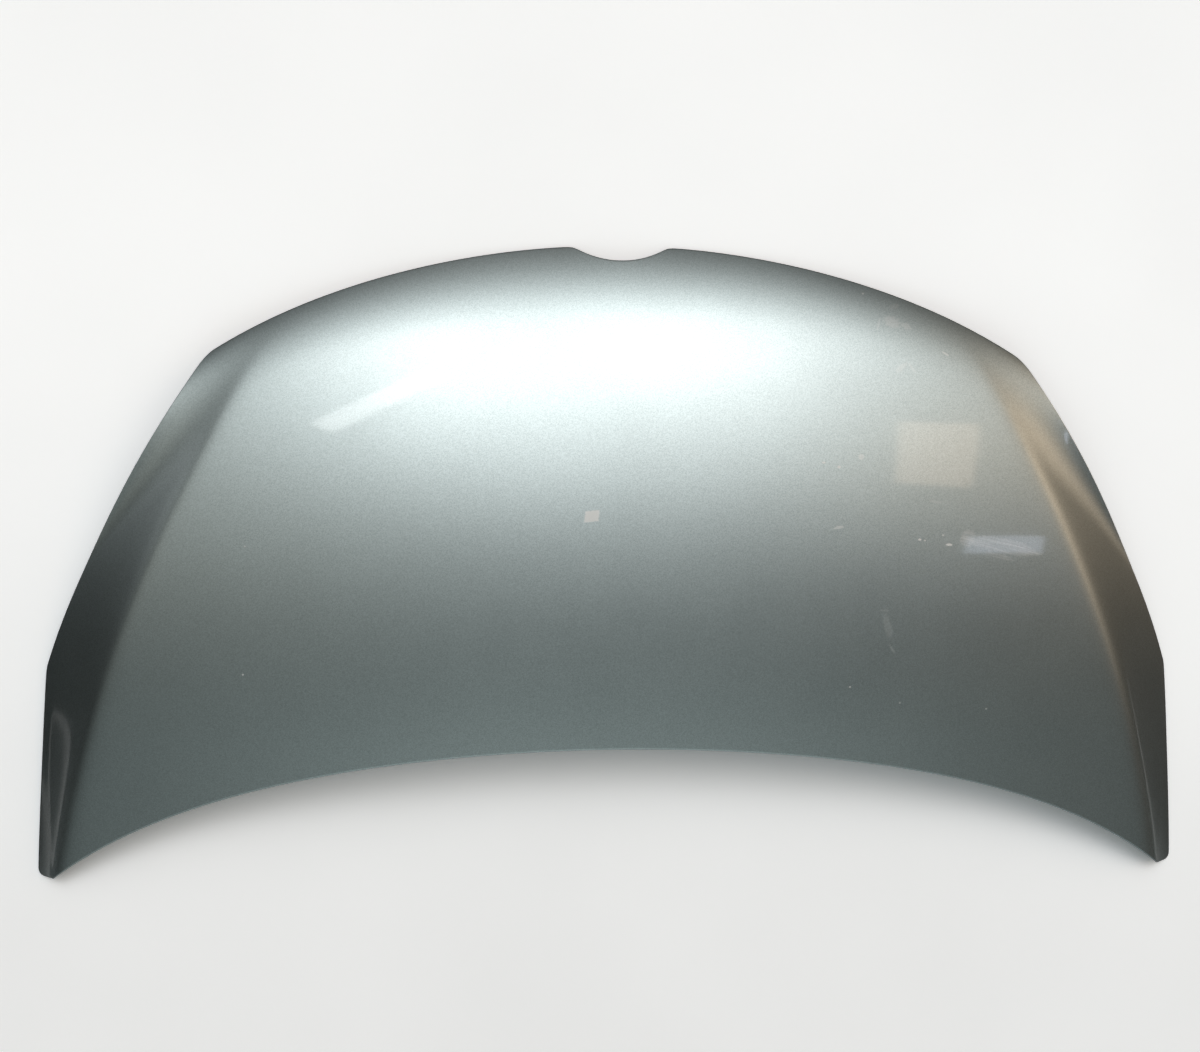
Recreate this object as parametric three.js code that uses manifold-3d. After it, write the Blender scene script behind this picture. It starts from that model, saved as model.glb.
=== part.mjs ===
// Car bonnet of a small hatchback: a pressed steel outer skin, hemmed round a pressed inner frame.
// Millimetres. +X runs across the car, +Y towards the nose, +Z out of the painted face.
// The bonnet lies face up, on the middle of its front edge and on its two rear corners.
import * as THREE from "three";
import { mergeVertices } from "three/addons/utils/BufferGeometryUtils.js";
import Module from "manifold-3d";

const wasm = await Module();
wasm.setup();

// Outline, seen square to the painted face
const HALF_WIDTH = 700; // centre line to a rear corner
const CORNER_FLAT = 25; // square end of the rear edge at each corner
const MIDDLE_LENGTH = 584.7; // centre line, rear edge to nose, with the badge notch filled in
const REAR_MIDDLE_Y = -206; // rear edge on the centre line
const FRONT_MIDDLE_Y = REAR_MIDDLE_Y + MIDDLE_LENGTH; // nose
const REAR_SWEEP = 126.3; // how far the rear edge sweeps back by the corner: round part
const REAR_SWEEP_SIDE = 29; // the same, part that builds up towards the side
const REAR_SWEEP_END = 35.6; // the same, part that comes in at the very end
const FRONT_HALF_SPAN = 510; // span that the two front sweeps are measured over
const FRONT_SWEEP = 135.4; // how far the front edge sweeps back over that span: round part
const FRONT_SWEEP_END = 21.3; // the same, part that comes in near the headlamps
const FRONT_CORNER_X = 480.2; // centre line to a front corner
const OUTER_SPAN_SHARE = 0.72857; // outside that corner the front line runs on over this share of HALF_WIDTH
const KINK_INSET = 18.9; // corner between the headlamp edge and the wing edge, in from a rear corner
const KINK_SHARE = 0.639; // its share of the way from the rear edge to the front line
const HEADLAMP_EDGE_BOW = 9.3; // bow of the headlamp edge
const HEADLAMP_EDGE_SKEW = 8.4; // how much of the bow lies towards the rear
const NOTCH_HALF_WIDTH = 56; // badge notch in the nose
const NOTCH_DEPTH = 18;
const NOTCH_SHOULDER = 3; // rounding of the notch's two corners

// Painted surface
const REAR_MIDDLE_HEIGHT = 96; // centre of the rear edge over the resting plane
const REAR_SLOPE = 0.075; // the centre line still climbs by this as it leaves the rear edge
const NOSE_DROP_POWER = 2.1; // how late the centre line turns down
const NOSE_ROLL_DROP = 11; // how far the rim of the nose rolls down below that line
const NOSE_ROLL_REACH = 105; // how far behind the front edge the roll starts
const CROWN_REAR = 66; // drop from the centre to the side, at the rear edge
const CROWN_FRONT = 36; // the same at the front edge
const CROWN_POWER = 2.2;
const CREASE_INSET = 32.5; // crease to side edge, at the rear edge
const CREASE_SWEEP = 113.8; // how far the crease runs inward by the front: even part
const CREASE_SWEEP_FRONT = 163.7; // the same, part that comes in towards the front
const FACET_SLOPE_REAR = 0.5; // extra slope outside the crease
const FACET_SLOPE_FRONT = 0.23;
const CREASE_ROUND = 12; // softness of the crease
const CREASE_FADE_START = 0.75; // share of the length where the crease starts to fade out

// Sheet metal and hem
const SKIN = 0.7; // outer skin
const INNER_SHEET = 0.7;
const FIT_GAP = 0.3; // air between parts that touch
const HEM_WIDTH = 8; // return of the skin under the inner frame
const HEM_GAP = 0.7; // air over the return, where the hem adhesive was
const HEM_WALL = 0.9; // metal at the fold
const FRAME_EDGE = HEM_WALL + 0.5; // inner frame's rim, in from the outline

// Inner frame: flange, box channel round the rim, flat ledges round the windows, hat ribs
const FLANGE_WIDTH = 14;
const CHANNEL_DEPTH = 24; // under the painted face
const NOSE_CHANNEL_DEPTH = 12; // the same along the channel's front, where the nose turns down
const CHANNEL_WALL = 17; // width of the outer sloping wall, front and rear
const REAR_CHANNEL_FLOOR = 80; // flat of the rear channel
const FRONT_CHANNEL_FLOOR = 60; // flat of the front channel
const SIDE_FLOOR_INSIDE = 45; // flat of the side channel inside the crease
const SIDE_WALL_SHARE = 0.4; // share of the facet that the side channel's outer wall takes
const INNER_WALL = 15; // width of the inner sloping walls
const LEDGE_DEPTH = 6;
const LEDGE_WIDTH = 16;
const RIB_DEPTH = 20;
const RIB_CROWN = 32;
const RIB_WALL = 12;
const RIB_SHARE = 0.5; // the two side ribs run half way between centre line and crease
const CROSS_RIB_SHARE = 0.48; // place of the cross rib between the front and rear channels
const CROSS_RIB_HALF = 0.05; // half its crown, as a share of that length
const CROSS_RIB_WALL = 0.03;
const WINDOW_CORNER = 26;

// Hinge mountings
const HINGE_BOLT_PITCH = 26;
const HINGE_PLATE_END = 10; // plate past each bolt
const HINGE_PLATE_LENGTH = HINGE_BOLT_PITCH + 2 * HINGE_PLATE_END;
const HINGE_PLATE_WIDTH = 37;
const HINGE_PLATE_SHEET = 1.8;
const HINGE_BOLT_HOLE = 9;
const HINGE_NUT_WIDTH = 13; // across flats
const HINGE_NUT_HEIGHT = 6.5;
const HINGE_NUT_BORE = 7.2;

// Latch mounting
const LATCH_BOLT_PITCH = 60;
const LATCH_PLATE_END = 20; // plate past each bolt
const LATCH_PLATE_LENGTH = LATCH_BOLT_PITCH + 2 * LATCH_PLATE_END;
const LATCH_PLATE_WIDTH = 38;
const LATCH_PLATE_SHEET = 1.5;
const LATCH_PAD_HALF = LATCH_PLATE_LENGTH / 2 + 10; // flat place in the front channel
const LATCH_BOLT_HOLE = 7;
const LATCH_NUT_WIDTH = 10;
const LATCH_NUT_HEIGHT = 5;
const LATCH_NUT_BORE = 5.2;
const PLATE_CORNER = 6;
const CUT_LENGTH = 10; // holes in the inner frame are cut over this length

// Stay rod socket
const GROMMET_BORE = 9;
const GROMMET_NECK = 15.4;
const GROMMET_RIM = 24;
const GROMMET_RIM_THICK = 2;
const GROMMET_LIP = 17.6;
const GROMMET_LIP_THICK = 3;

// Anti-flutter mastic between the skin and the ledges
const BEAD_LENGTH = 44;
const BEAD_WIDTH = 9;
const BEAD_GAP = 0.7;

const { lerp, smoothstep } = THREE.MathUtils;

const OUTER_SPAN = OUTER_SPAN_SHARE * HALF_WIDTH;
const KINK_X = HALF_WIDTH - KINK_INSET;

function rearEdgeY(x) {
  const t = Math.min(Math.abs(x), HALF_WIDTH - CORNER_FLAT) / HALF_WIDTH;
  return REAR_MIDDLE_Y - REAR_SWEEP * t ** 2 - REAR_SWEEP_SIDE * t ** 4 - REAR_SWEEP_END * t ** 6;
}

function frontSweep(x, span) {
  return FRONT_SWEEP * (x / span) ** 2 + FRONT_SWEEP_END * (x / span) ** 6;
}

// The front edge with no badge notch. It runs on past the front corners as a construction line.
function frontCurveY(x) {
  const inner = frontSweep(Math.min(Math.abs(x), FRONT_CORNER_X), FRONT_HALF_SPAN);
  const outerX = Math.max(Math.abs(x), FRONT_CORNER_X);
  const outer = frontSweep(outerX, OUTER_SPAN) - frontSweep(FRONT_CORNER_X, OUTER_SPAN);
  return FRONT_MIDDLE_Y - inner - outer;
}

// The front edge with the badge notch: an arc let into the front curve, with rounded shoulders.
function frontEdgeY(x) {
  const curve = frontCurveY(x);
  const radius = (NOTCH_HALF_WIDTH ** 2 + NOTCH_DEPTH ** 2) / (2 * NOTCH_DEPTH);
  if (Math.abs(x) >= radius) return curve;
  const arc = frontCurveY(NOTCH_HALF_WIDTH) - NOTCH_DEPTH + radius - Math.sqrt(radius ** 2 - x ** 2);
  return (curve + arc - Math.hypot(curve - arc, NOTCH_SHOULDER)) / 2;
}

// Share of the way from the rear edge to the front curve, at one x.
function lengthShare(x, y) {
  return (y - rearEdgeY(x)) / (frontCurveY(x) - rearEdgeY(x));
}

function sideEdgeX(share) {
  if (share < KINK_SHARE) return lerp(HALF_WIDTH, KINK_X, share / KINK_SHARE);
  const s = (share - KINK_SHARE) / (1 - KINK_SHARE);
  const bow = 4 * s * (1 - s) * (HEADLAMP_EDGE_BOW + 2 * HEADLAMP_EDGE_SKEW * (1 - 2 * s));
  return lerp(KINK_X, FRONT_CORNER_X, s) + bow;
}

function creaseX(share) {
  return HALF_WIDTH - CREASE_INSET - CREASE_SWEEP * share - CREASE_SWEEP_FRONT * share ** 2;
}

// Height of the painted face.
function height(x, y) {
  const length = FRONT_MIDDLE_Y - REAR_MIDDLE_Y;
  const along = Math.max((y - REAR_MIDDLE_Y) / length, 0);
  const fall = REAR_MIDDLE_HEIGHT + REAR_SLOPE * length - NOSE_ROLL_DROP;
  const roll = NOSE_ROLL_DROP * Math.max(1 - (frontCurveY(x) - y) / NOSE_ROLL_REACH, 0) ** 3;
  const drop = fall * along ** NOSE_DROP_POWER + roll;
  const spine = REAR_MIDDLE_HEIGHT + REAR_SLOPE * (y - REAR_MIDDLE_Y) - drop;
  const share = THREE.MathUtils.clamp(lengthShare(x, y), 0, 1);
  const crown = lerp(CROWN_REAR, CROWN_FRONT, share) * (Math.abs(x) / HALF_WIDTH) ** CROWN_POWER;
  const outside = Math.abs(x) - creaseX(share);
  const facet = (outside + Math.hypot(outside, CREASE_ROUND)) / 2;
  const fade = 1 - smoothstep(share, CREASE_FADE_START, 1);
  return spine - crown - lerp(FACET_SLOPE_REAR, FACET_SLOPE_FRONT, share) * facet * fade;
}

// A point at some depth under the painted face, square to it.
function under(x, y, depth) {
  const step = 0.5;
  const slopeX = (height(x + step, y) - height(x - step, y)) / (2 * step);
  const slopeY = (height(x, y + step) - height(x, y - step)) / (2 * step);
  const normal = new THREE.Vector3(-slopeX, -slopeY, 1).normalize();
  return new THREE.Vector3(x, y, height(x, y)).addScaledVector(normal, -depth);
}

// Both panels share one net of lines, so their faces stay parallel where they are hemmed together.
// A column gives x from the length share, a row gives y from x, and each has the frame's depth there.
const RIM = SKIN + FIT_GAP;
const RIB_HALF = RIB_CROWN / 2;
const RIB_BASE = RIB_HALF + RIB_WALL;
const ribX = (share) => RIB_SHARE * creaseX(share);
const ledgeX = (share) => creaseX(share) - SIDE_FLOOR_INSIDE - INNER_WALL;
const flangeX = (share) => sideEdgeX(share) - FLANGE_WIDTH;

const rightColumns = [
  { depth: RIB_DEPTH, x: () => 0, latch: true },
  { depth: RIB_DEPTH, x: () => RIB_HALF, latch: true },
  { depth: LEDGE_DEPTH, x: () => RIB_BASE, latch: true, name: "centre ledge" },
  { depth: LEDGE_DEPTH, x: () => NOTCH_HALF_WIDTH * 0.75, latch: true },
  { depth: LEDGE_DEPTH, x: () => NOTCH_HALF_WIDTH * 0.92, latch: true },
  { depth: LEDGE_DEPTH, x: () => LATCH_PAD_HALF, latch: true },
  { depth: LEDGE_DEPTH, x: (v) => lerp(LATCH_PAD_HALF, ribX(v) - RIB_BASE, 1 / 3) },
  { depth: LEDGE_DEPTH, x: (v) => lerp(LATCH_PAD_HALF, ribX(v) - RIB_BASE, 2 / 3), socket: true },
  { depth: LEDGE_DEPTH, x: (v) => ribX(v) - RIB_BASE, name: "rib inside", socket: true },
  { depth: RIB_DEPTH, x: (v) => ribX(v) - RIB_HALF },
  { depth: RIB_DEPTH, x: (v) => ribX(v) + RIB_HALF },
  { depth: LEDGE_DEPTH, x: (v) => ribX(v) + RIB_BASE, name: "rib outside" },
  { depth: LEDGE_DEPTH, x: (v) => lerp(ribX(v) + RIB_BASE, ledgeX(v), 1 / 4) },
  { depth: LEDGE_DEPTH, x: (v) => lerp(ribX(v) + RIB_BASE, ledgeX(v), 2 / 4) },
  { depth: LEDGE_DEPTH, x: (v) => lerp(ribX(v) + RIB_BASE, ledgeX(v), 3 / 4) },
  { depth: LEDGE_DEPTH, x: ledgeX, name: "side ledge" },
  { depth: CHANNEL_DEPTH, x: (v) => creaseX(v) - SIDE_FLOOR_INSIDE, hinge: true },
  { depth: CHANNEL_DEPTH, x: creaseX, hinge: true },
  { depth: CHANNEL_DEPTH, x: (v) => lerp(flangeX(v), creaseX(v), SIDE_WALL_SHARE), hinge: true },
  { depth: RIM, x: flangeX, rim: true },
  { depth: RIM, x: (v, inset) => sideEdgeX(v) - inset, rim: true },
];
const leftColumns = rightColumns.slice(1).reverse().map((column) => ({
  ...column,
  x: (v, inset) => -column.x(v, inset),
}));
const columns = [...leftColumns, ...rightColumns];

const CHANNEL_START = FLANGE_WIDTH + CHANNEL_WALL;
const REAR_CHANNEL_END = CHANNEL_START + REAR_CHANNEL_FLOOR;
const FRONT_CHANNEL_END = CHANNEL_START + FRONT_CHANNEL_FLOOR;
const windowRearY = (x) => rearEdgeY(x) + REAR_CHANNEL_END + INNER_WALL;
const windowFrontY = (x) => frontEdgeY(x) - FRONT_CHANNEL_END - INNER_WALL;
const between = (share) => (x) => lerp(windowRearY(x), windowFrontY(x), share);
const NOSE_MIDDLE = (CHANNEL_START + FRONT_CHANNEL_END) / 2;
const NOSE_MIDDLE_DEPTH = (CHANNEL_DEPTH + NOSE_CHANNEL_DEPTH) / 2;
const CROSS_REAR = CROSS_RIB_SHARE - CROSS_RIB_HALF - CROSS_RIB_WALL;
const CROSS_FRONT = CROSS_RIB_SHARE + CROSS_RIB_HALF + CROSS_RIB_WALL;
const KINK_Y = lerp(rearEdgeY(KINK_X), frontCurveY(KINK_X), KINK_SHARE);
const KINK_ROW = (KINK_Y - windowRearY(KINK_X)) / (windowFrontY(KINK_X) - windowRearY(KINK_X));

const rows = [
  { depth: RIM, y: (x, inset) => rearEdgeY(x) + inset, rim: true },
  { depth: RIM, y: (x) => rearEdgeY(x) + FLANGE_WIDTH, rim: true },
  { depth: CHANNEL_DEPTH, y: (x) => rearEdgeY(x) + CHANNEL_START, hinge: true },
  { depth: CHANNEL_DEPTH, y: (x) => rearEdgeY(x) + REAR_CHANNEL_END, hinge: true },
  { depth: LEDGE_DEPTH, y: windowRearY, name: "rear ledge" },
  { depth: LEDGE_DEPTH, y: between(CROSS_REAR / 3) },
  { depth: LEDGE_DEPTH, y: between((2 * CROSS_REAR) / 3) },
  { depth: LEDGE_DEPTH, y: between(CROSS_REAR), name: "cross rib rear" },
  { depth: RIB_DEPTH, y: between(CROSS_RIB_SHARE - CROSS_RIB_HALF) },
  { depth: RIB_DEPTH, y: between(CROSS_RIB_SHARE + CROSS_RIB_HALF) },
  { depth: LEDGE_DEPTH, y: between(CROSS_FRONT), name: "cross rib front" },
  { depth: LEDGE_DEPTH, y: between((CROSS_FRONT + KINK_ROW) / 2) },
  { depth: LEDGE_DEPTH, y: between(KINK_ROW) },
  { depth: LEDGE_DEPTH, y: between(lerp(KINK_ROW, 1, 1 / 3)) },
  { depth: LEDGE_DEPTH, y: between(lerp(KINK_ROW, 1, 2 / 3)) },
  { depth: LEDGE_DEPTH, y: windowFrontY, name: "front ledge" },
  { depth: CHANNEL_DEPTH, y: (x) => frontEdgeY(x) - FRONT_CHANNEL_END, latch: true },
  { depth: NOSE_MIDDLE_DEPTH, y: (x) => frontEdgeY(x) - NOSE_MIDDLE, latch: true, nose: true },
  { depth: NOSE_CHANNEL_DEPTH, y: (x) => frontEdgeY(x) - CHANNEL_START, latch: true, nose: true },
  { depth: RIM, y: (x) => frontEdgeY(x) - FLANGE_WIDTH, rim: true },
  { depth: RIM, y: (x, inset) => frontEdgeY(x) - inset, rim: true },
];

// Where a column meets a row. Each needs the other, so the place settles over a few rounds.
function crossing(columnX, rowY, inset = 0) {
  let share = 0.5;
  let x = 0;
  let y = 0;
  for (let round = 0; round < 12; round += 1) {
    x = columnX(share, inset);
    y = rowY(x, inset);
    share = lengthShare(x, y);
  }
  return { x, y };
}

function netPoints(inset, depthAt) {
  return rows.map((row) => columns.map((column) => {
    const { x, y } = crossing(column.x, row.y, inset);
    return under(x, y, depthAt(column, row));
  }));
}

// The net's rim, anticlockwise seen from above, as row and column numbers.
function rimPath() {
  const lastRow = rows.length - 1;
  const lastColumn = columns.length - 1;
  const path = [];
  for (let c = 0; c < lastColumn; c += 1) path.push([0, c]);
  for (let r = 0; r < lastRow; r += 1) path.push([r, lastColumn]);
  for (let c = lastColumn; c > 0; c -= 1) path.push([lastRow, c]);
  for (let r = lastRow; r > 0; r -= 1) path.push([r, 0]);
  return path;
}

// Collects corner points and faces of one closed body.
class Body {
  positions = [];
  index = [];

  add(point) {
    this.positions.push(point.x, point.y, point.z);
    return this.positions.length / 3 - 1;
  }

  quad(a, b, c, d) {
    this.index.push(a, b, c, a, c, d);
  }

  // A net of quads. A cell is split towards its odd corner, so that channels mitre at their corners.
  net(points, faceUp) {
    const ids = points.map((line) => line.map((point) => this.add(point)));
    for (let r = 0; r + 1 < ids.length; r += 1) {
      for (let c = 0; c + 1 < ids[r].length; c += 1) {
        const corners = [ids[r][c], ids[r][c + 1], ids[r + 1][c + 1], ids[r + 1][c]];
        if (cellSplit(r, c)) corners.push(corners.shift());
        if (!faceUp) corners.reverse();
        if (!faceUp) corners.unshift(corners.pop());
        this.quad(...corners);
      }
    }
    return rimPath().map(([r, c]) => ids[r][c]);
  }

  // A band between two rings of corner points. Where a list of turns says so, a quad is split
  // along its other diagonal.
  band(from, to, turns = []) {
    from.forEach((a, k) => {
      const next = (k + 1) % from.length;
      if (turns[k]) this.quad(to[k], to[next], from[next], a);
      else this.quad(a, to[k], to[next], from[next]);
    });
  }

  geometry() {
    const geometry = new THREE.BufferGeometry();
    geometry.setAttribute("position", new THREE.Float32BufferAttribute(this.positions, 3));
    geometry.setIndex(this.index);
    return geometry;
  }
}

function frameDepth(column, row) {
  if (column.rim || row.rim) return RIM;
  return row.nose ? row.depth : Math.max(column.depth, row.depth);
}

function cellSplit(r, c) {
  const depth = (dr, dc) => frameDepth(columns[c + dc], rows[r + dr]);
  const main = Math.abs(depth(0, 0) - depth(1, 1));
  const other = Math.abs(depth(0, 1) - depth(1, 0));
  if (main === other) return c >= leftColumns.length;
  return other > main;
}

// For each step of the rim, whether the net's cell there is split from the outline inwards.
function rimSplits() {
  const lastRow = rows.length - 1;
  const lastColumn = columns.length - 1;
  return rimPath().map(([r, c], k, path) => {
    const [nextR, nextC] = path[(k + 1) % path.length];
    const cell = cellSplit(Math.min(r, nextR, lastRow - 1), Math.min(c, nextC, lastColumn - 1));
    return r === nextR ? !cell : cell;
  });
}

// Outer skin: painted sheet, fold and hem return, as one body.
function outerPanelGeometry() {
  const body = new Body();
  const hemTop = SKIN + FIT_GAP + INNER_SHEET + HEM_GAP;
  const ring = (inset, depth) => {
    const points = netPoints(inset, () => depth);
    return rimPath().map(([r, c]) => body.add(points[r][c]));
  };
  const paintedRim = body.net(netPoints(0, () => 0), true);
  const foldLower = ring(0, hemTop + SKIN);
  const returnLower = ring(HEM_WIDTH, hemTop + SKIN);
  const returnUpper = ring(HEM_WIDTH, hemTop);
  const foldInner = ring(HEM_WALL, hemTop);
  const undersideRim = body.net(netPoints(HEM_WALL, () => SKIN), false);
  body.band(paintedRim, foldLower);
  const outlineFirst = rimSplits();
  body.band(foldLower, returnLower, outlineFirst.map((first) => !first));
  body.band(returnLower, returnUpper);
  body.band(returnUpper, foldInner, outlineFirst);
  body.band(foldInner, undersideRim);
  return body.geometry();
}

// The plane that lies nearest to some points.
function flatPlace(points) {
  const centre = new THREE.Vector3();
  points.forEach((point) => centre.addScaledVector(point, 1 / points.length));
  const off = points.map((point) => new THREE.Vector3().subVectors(point, centre));
  const sum = (term) => off.reduce((total, d) => total + term(d), 0);
  const xx = sum((d) => d.x * d.x);
  const xy = sum((d) => d.x * d.y);
  const yy = sum((d) => d.y * d.y);
  const xz = sum((d) => d.x * d.z);
  const yz = sum((d) => d.y * d.z);
  const scale = xx * yy - xy * xy;
  const slopeX = (xz * yy - yz * xy) / scale;
  const slopeY = (yz * xx - xz * xy) / scale;
  return planeAt(centre, new THREE.Vector3(-slopeX, -slopeY, 1).normalize());
}

// A frame on a plane: z along its normal, x across the car.
function planeAt(centre, normal) {
  const yAxis = new THREE.Vector3().crossVectors(normal, new THREE.Vector3(1, 0, 0)).normalize();
  const xAxis = new THREE.Vector3().crossVectors(yAxis, normal);
  const matrix = new THREE.Matrix4().makeBasis(xAxis, yAxis, normal).setPosition(centre);
  return { centre, normal, matrix };
}

// Upper face of the inner frame, with flat places pressed in for the hinges and the latch.
const frameUpper = netPoints(FRAME_EDGE, frameDepth);
const flatNormals = new Map();

function pressFlat(isMember) {
  const members = [];
  rows.forEach((row, r) => columns.forEach((column, c) => {
    if (isMember(row, column, c)) members.push([r, c]);
  }));
  const place = flatPlace(members.map(([r, c]) => frameUpper[r][c]));
  members.forEach(([r, c]) => {
    const point = frameUpper[r][c];
    const above = place.normal.dot(new THREE.Vector3().subVectors(point, place.centre));
    point.z -= above / place.normal.z;
    flatNormals.set(`${r},${c}`, place.normal);
  });
  return place;
}

const middleColumn = leftColumns.length;
const hingePlaces = {
  left: pressFlat((row, column, c) => row.hinge && column.hinge && c < middleColumn),
  right: pressFlat((row, column, c) => row.hinge && column.hinge && c > middleColumn),
};
const latchPlace = pressFlat((row, column) => row.latch && column.latch);
// The stay rod's socket sits in the front channel, on the right.
const socket = pressFlat((row, column, c) => row.latch && column.socket && c > middleColumn);

// Facets round one net point, as unit normals weighted by area.
function facetNormals(points, r, c) {
  const normals = [];
  for (const [dr, dc] of [[0, 1], [1, 0], [0, -1], [-1, 0]]) {
    const first = points[r + dr]?.[c + dc];
    const second = points[r + dc]?.[c - dr];
    if (!first || !second) continue;
    const a = new THREE.Vector3().subVectors(first, points[r][c]);
    const b = new THREE.Vector3().subVectors(second, points[r][c]);
    const normal = new THREE.Vector3().crossVectors(a, b);
    normals.push(normal.z < 0 ? normal.negate() : normal);
  }
  return normals;
}

// Lower face of the inner frame: one sheet thickness under the upper face.
function sheetBelow(points) {
  return points.map((line, r) => line.map((point, c) => {
    const facets = facetNormals(points, r, c).map((normal) => normal.normalize());
    const mean = facets.reduce((sum, facet) => sum.add(facet), new THREE.Vector3()).normalize();
    const flat = flatNormals.get(`${r},${c}`);
    const facing = flat ? mean.dot(flat) : Math.max(0.7, ...facets.map((facet) => mean.dot(facet)));
    return point.clone().addScaledVector(mean, -INNER_SHEET / facing);
  }));
}

function toSolid(geometry) {
  const bare = geometry.clone();
  bare.deleteAttribute("normal");
  bare.deleteAttribute("uv");
  const merged = mergeVertices(bare, 1e-4);
  return new wasm.Manifold(new wasm.Mesh({
    numProp: 3,
    vertProperties: new Float32Array(merged.attributes.position.array),
    triVerts: new Uint32Array(merged.index.array),
  }));
}

function toGeometry(solid) {
  const mesh = solid.getMesh();
  const geometry = new THREE.BufferGeometry();
  geometry.setAttribute("position", new THREE.BufferAttribute(mesh.vertProperties, 3));
  geometry.setIndex(new THREE.BufferAttribute(mesh.triVerts, 1));
  return geometry;
}

function roundedRectangle(width, length, radius) {
  const x = width / 2 - radius;
  const y = length / 2 - radius;
  const shape = new THREE.Shape();
  shape.absarc(x, y, radius, 0, Math.PI / 2);
  shape.absarc(-x, y, radius, Math.PI / 2, Math.PI);
  shape.absarc(-x, -y, radius, Math.PI, 1.5 * Math.PI);
  shape.absarc(x, -y, radius, 1.5 * Math.PI, 2 * Math.PI);
  return shape;
}

const column = (name) => rightColumns.find((line) => line.name === name).x;
const row = (name) => rows.find((line) => line.name === name).y;

// The eight fields between ribs and channels. Side is -1 on the left, 1 on the right.
const fields = [];
for (const side of [-1, 1]) {
  for (const [inside, outside, across] of [
    ["centre ledge", "rib inside", "inner"],
    ["rib outside", "side ledge", "outer"],
  ]) {
    for (const [rear, front, along] of [
      ["rear ledge", "cross rib rear", "rear"],
      ["cross rib front", "front ledge", "front"],
    ]) {
      fields.push(makeField(side, column(inside), column(outside), row(rear), row(front), across, along));
    }
  }
}

// A field maps millimetres from its middle to a place on the panel.
function makeField(side, insideX, outsideX, rearY, frontY, across, along) {
  const place = (s, t) => {
    const x = (share) => lerp(insideX(share), outsideX(share), s);
    const y = (at) => lerp(rearY(at), frontY(at), t);
    const point = crossing(x, y);
    return { x: side * point.x, y: point.y };
  };
  const width = Math.abs(place(1, 0.5).x - place(0, 0.5).x);
  const length = place(0.5, 1).y - place(0.5, 0).y;
  const at = (acrossMm, alongMm) => place(0.5 + acrossMm / width, 0.5 + alongMm / length);
  return { side, across, along, width, length, at };
}

function windowCutter(field) {
  const width = field.width - 2 * LEDGE_WIDTH;
  const length = field.length - 2 * LEDGE_WIDTH;
  const outline = roundedRectangle(width, length, WINDOW_CORNER).getPoints(3);
  const points = outline.map((point) => {
    const { x, y } = field.at(point.x, point.y);
    return new THREE.Vector2(x, y);
  });
  const depth = 4 * REAR_MIDDLE_HEIGHT;
  const geometry = new THREE.ExtrudeGeometry(new THREE.Shape(points), { depth, bevelEnabled: false });
  return toSolid(geometry.translate(0, 0, -depth / 2));
}

function holeCutter(place, x, y, diameter) {
  const geometry = new THREE.CylinderGeometry(diameter / 2, diameter / 2, CUT_LENGTH, 20);
  geometry.rotateX(Math.PI / 2).translate(x, y, 0).applyMatrix4(place.matrix);
  return toSolid(geometry);
}

// Inner frame: one pressed sheet with windows, bolt holes and the socket's hole cut out.
function innerPanelGeometry() {
  const body = new Body();
  const upperRim = body.net(frameUpper, true);
  const lowerRim = body.net(sheetBelow(frameUpper), false);
  body.band(upperRim, lowerRim);
  let solid = toSolid(body.geometry());
  for (const field of fields) solid = solid.subtract(windowCutter(field));
  for (const place of Object.values(hingePlaces)) {
    for (const end of [-1, 1]) {
      solid = solid.subtract(holeCutter(place, 0, (end * HINGE_BOLT_PITCH) / 2, HINGE_BOLT_HOLE));
    }
  }
  for (const end of [-1, 1]) {
    solid = solid.subtract(holeCutter(latchPlace, (end * LATCH_BOLT_PITCH) / 2, 0, LATCH_BOLT_HOLE));
  }
  solid = solid.subtract(holeCutter(socket, 0, 0, GROMMET_NECK + 2 * FIT_GAP));
  return toGeometry(solid);
}

function plateGeometry(width, length, sheet, holes, diameter) {
  const shape = roundedRectangle(width, length, PLATE_CORNER);
  for (const [x, y] of holes) {
    shape.holes.push(new THREE.Path().absarc(x, y, diameter / 2, 0, 2 * Math.PI, true));
  }
  return new THREE.ExtrudeGeometry(shape, { depth: sheet, bevelEnabled: false, curveSegments: 10 });
}

function nutGeometry(acrossFlats, tall, bore) {
  const corner = acrossFlats / 2 / Math.cos(Math.PI / 6);
  const corners = Array.from({ length: 6 }, (_, k) => new THREE.Vector2(
    corner * Math.cos((k * Math.PI) / 3),
    corner * Math.sin((k * Math.PI) / 3),
  ));
  const shape = new THREE.Shape(corners);
  shape.holes.push(new THREE.Path().absarc(0, 0, bore / 2, 0, 2 * Math.PI, true));
  return new THREE.ExtrudeGeometry(shape, { depth: tall, bevelEnabled: false, curveSegments: 9 });
}

// Bush turned about its own axis; its neck passes through the frame's sheet.
function grommetGeometry() {
  const low = -INNER_SHEET - FIT_GAP;
  const profile = [
    [GROMMET_BORE / 2, low - GROMMET_RIM_THICK],
    [GROMMET_RIM / 2, low - GROMMET_RIM_THICK],
    [GROMMET_RIM / 2, low],
    [GROMMET_NECK / 2, low],
    [GROMMET_NECK / 2, FIT_GAP],
    [GROMMET_LIP / 2, FIT_GAP],
    [GROMMET_NECK / 2, FIT_GAP + GROMMET_LIP_THICK],
    [GROMMET_BORE / 2, FIT_GAP + GROMMET_LIP_THICK],
    [GROMMET_BORE / 2, low - GROMMET_RIM_THICK],
  ].map(([radius, z]) => new THREE.Vector2(radius, z));
  return new THREE.LatheGeometry(profile, 24).rotateX(Math.PI / 2);
}

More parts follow.
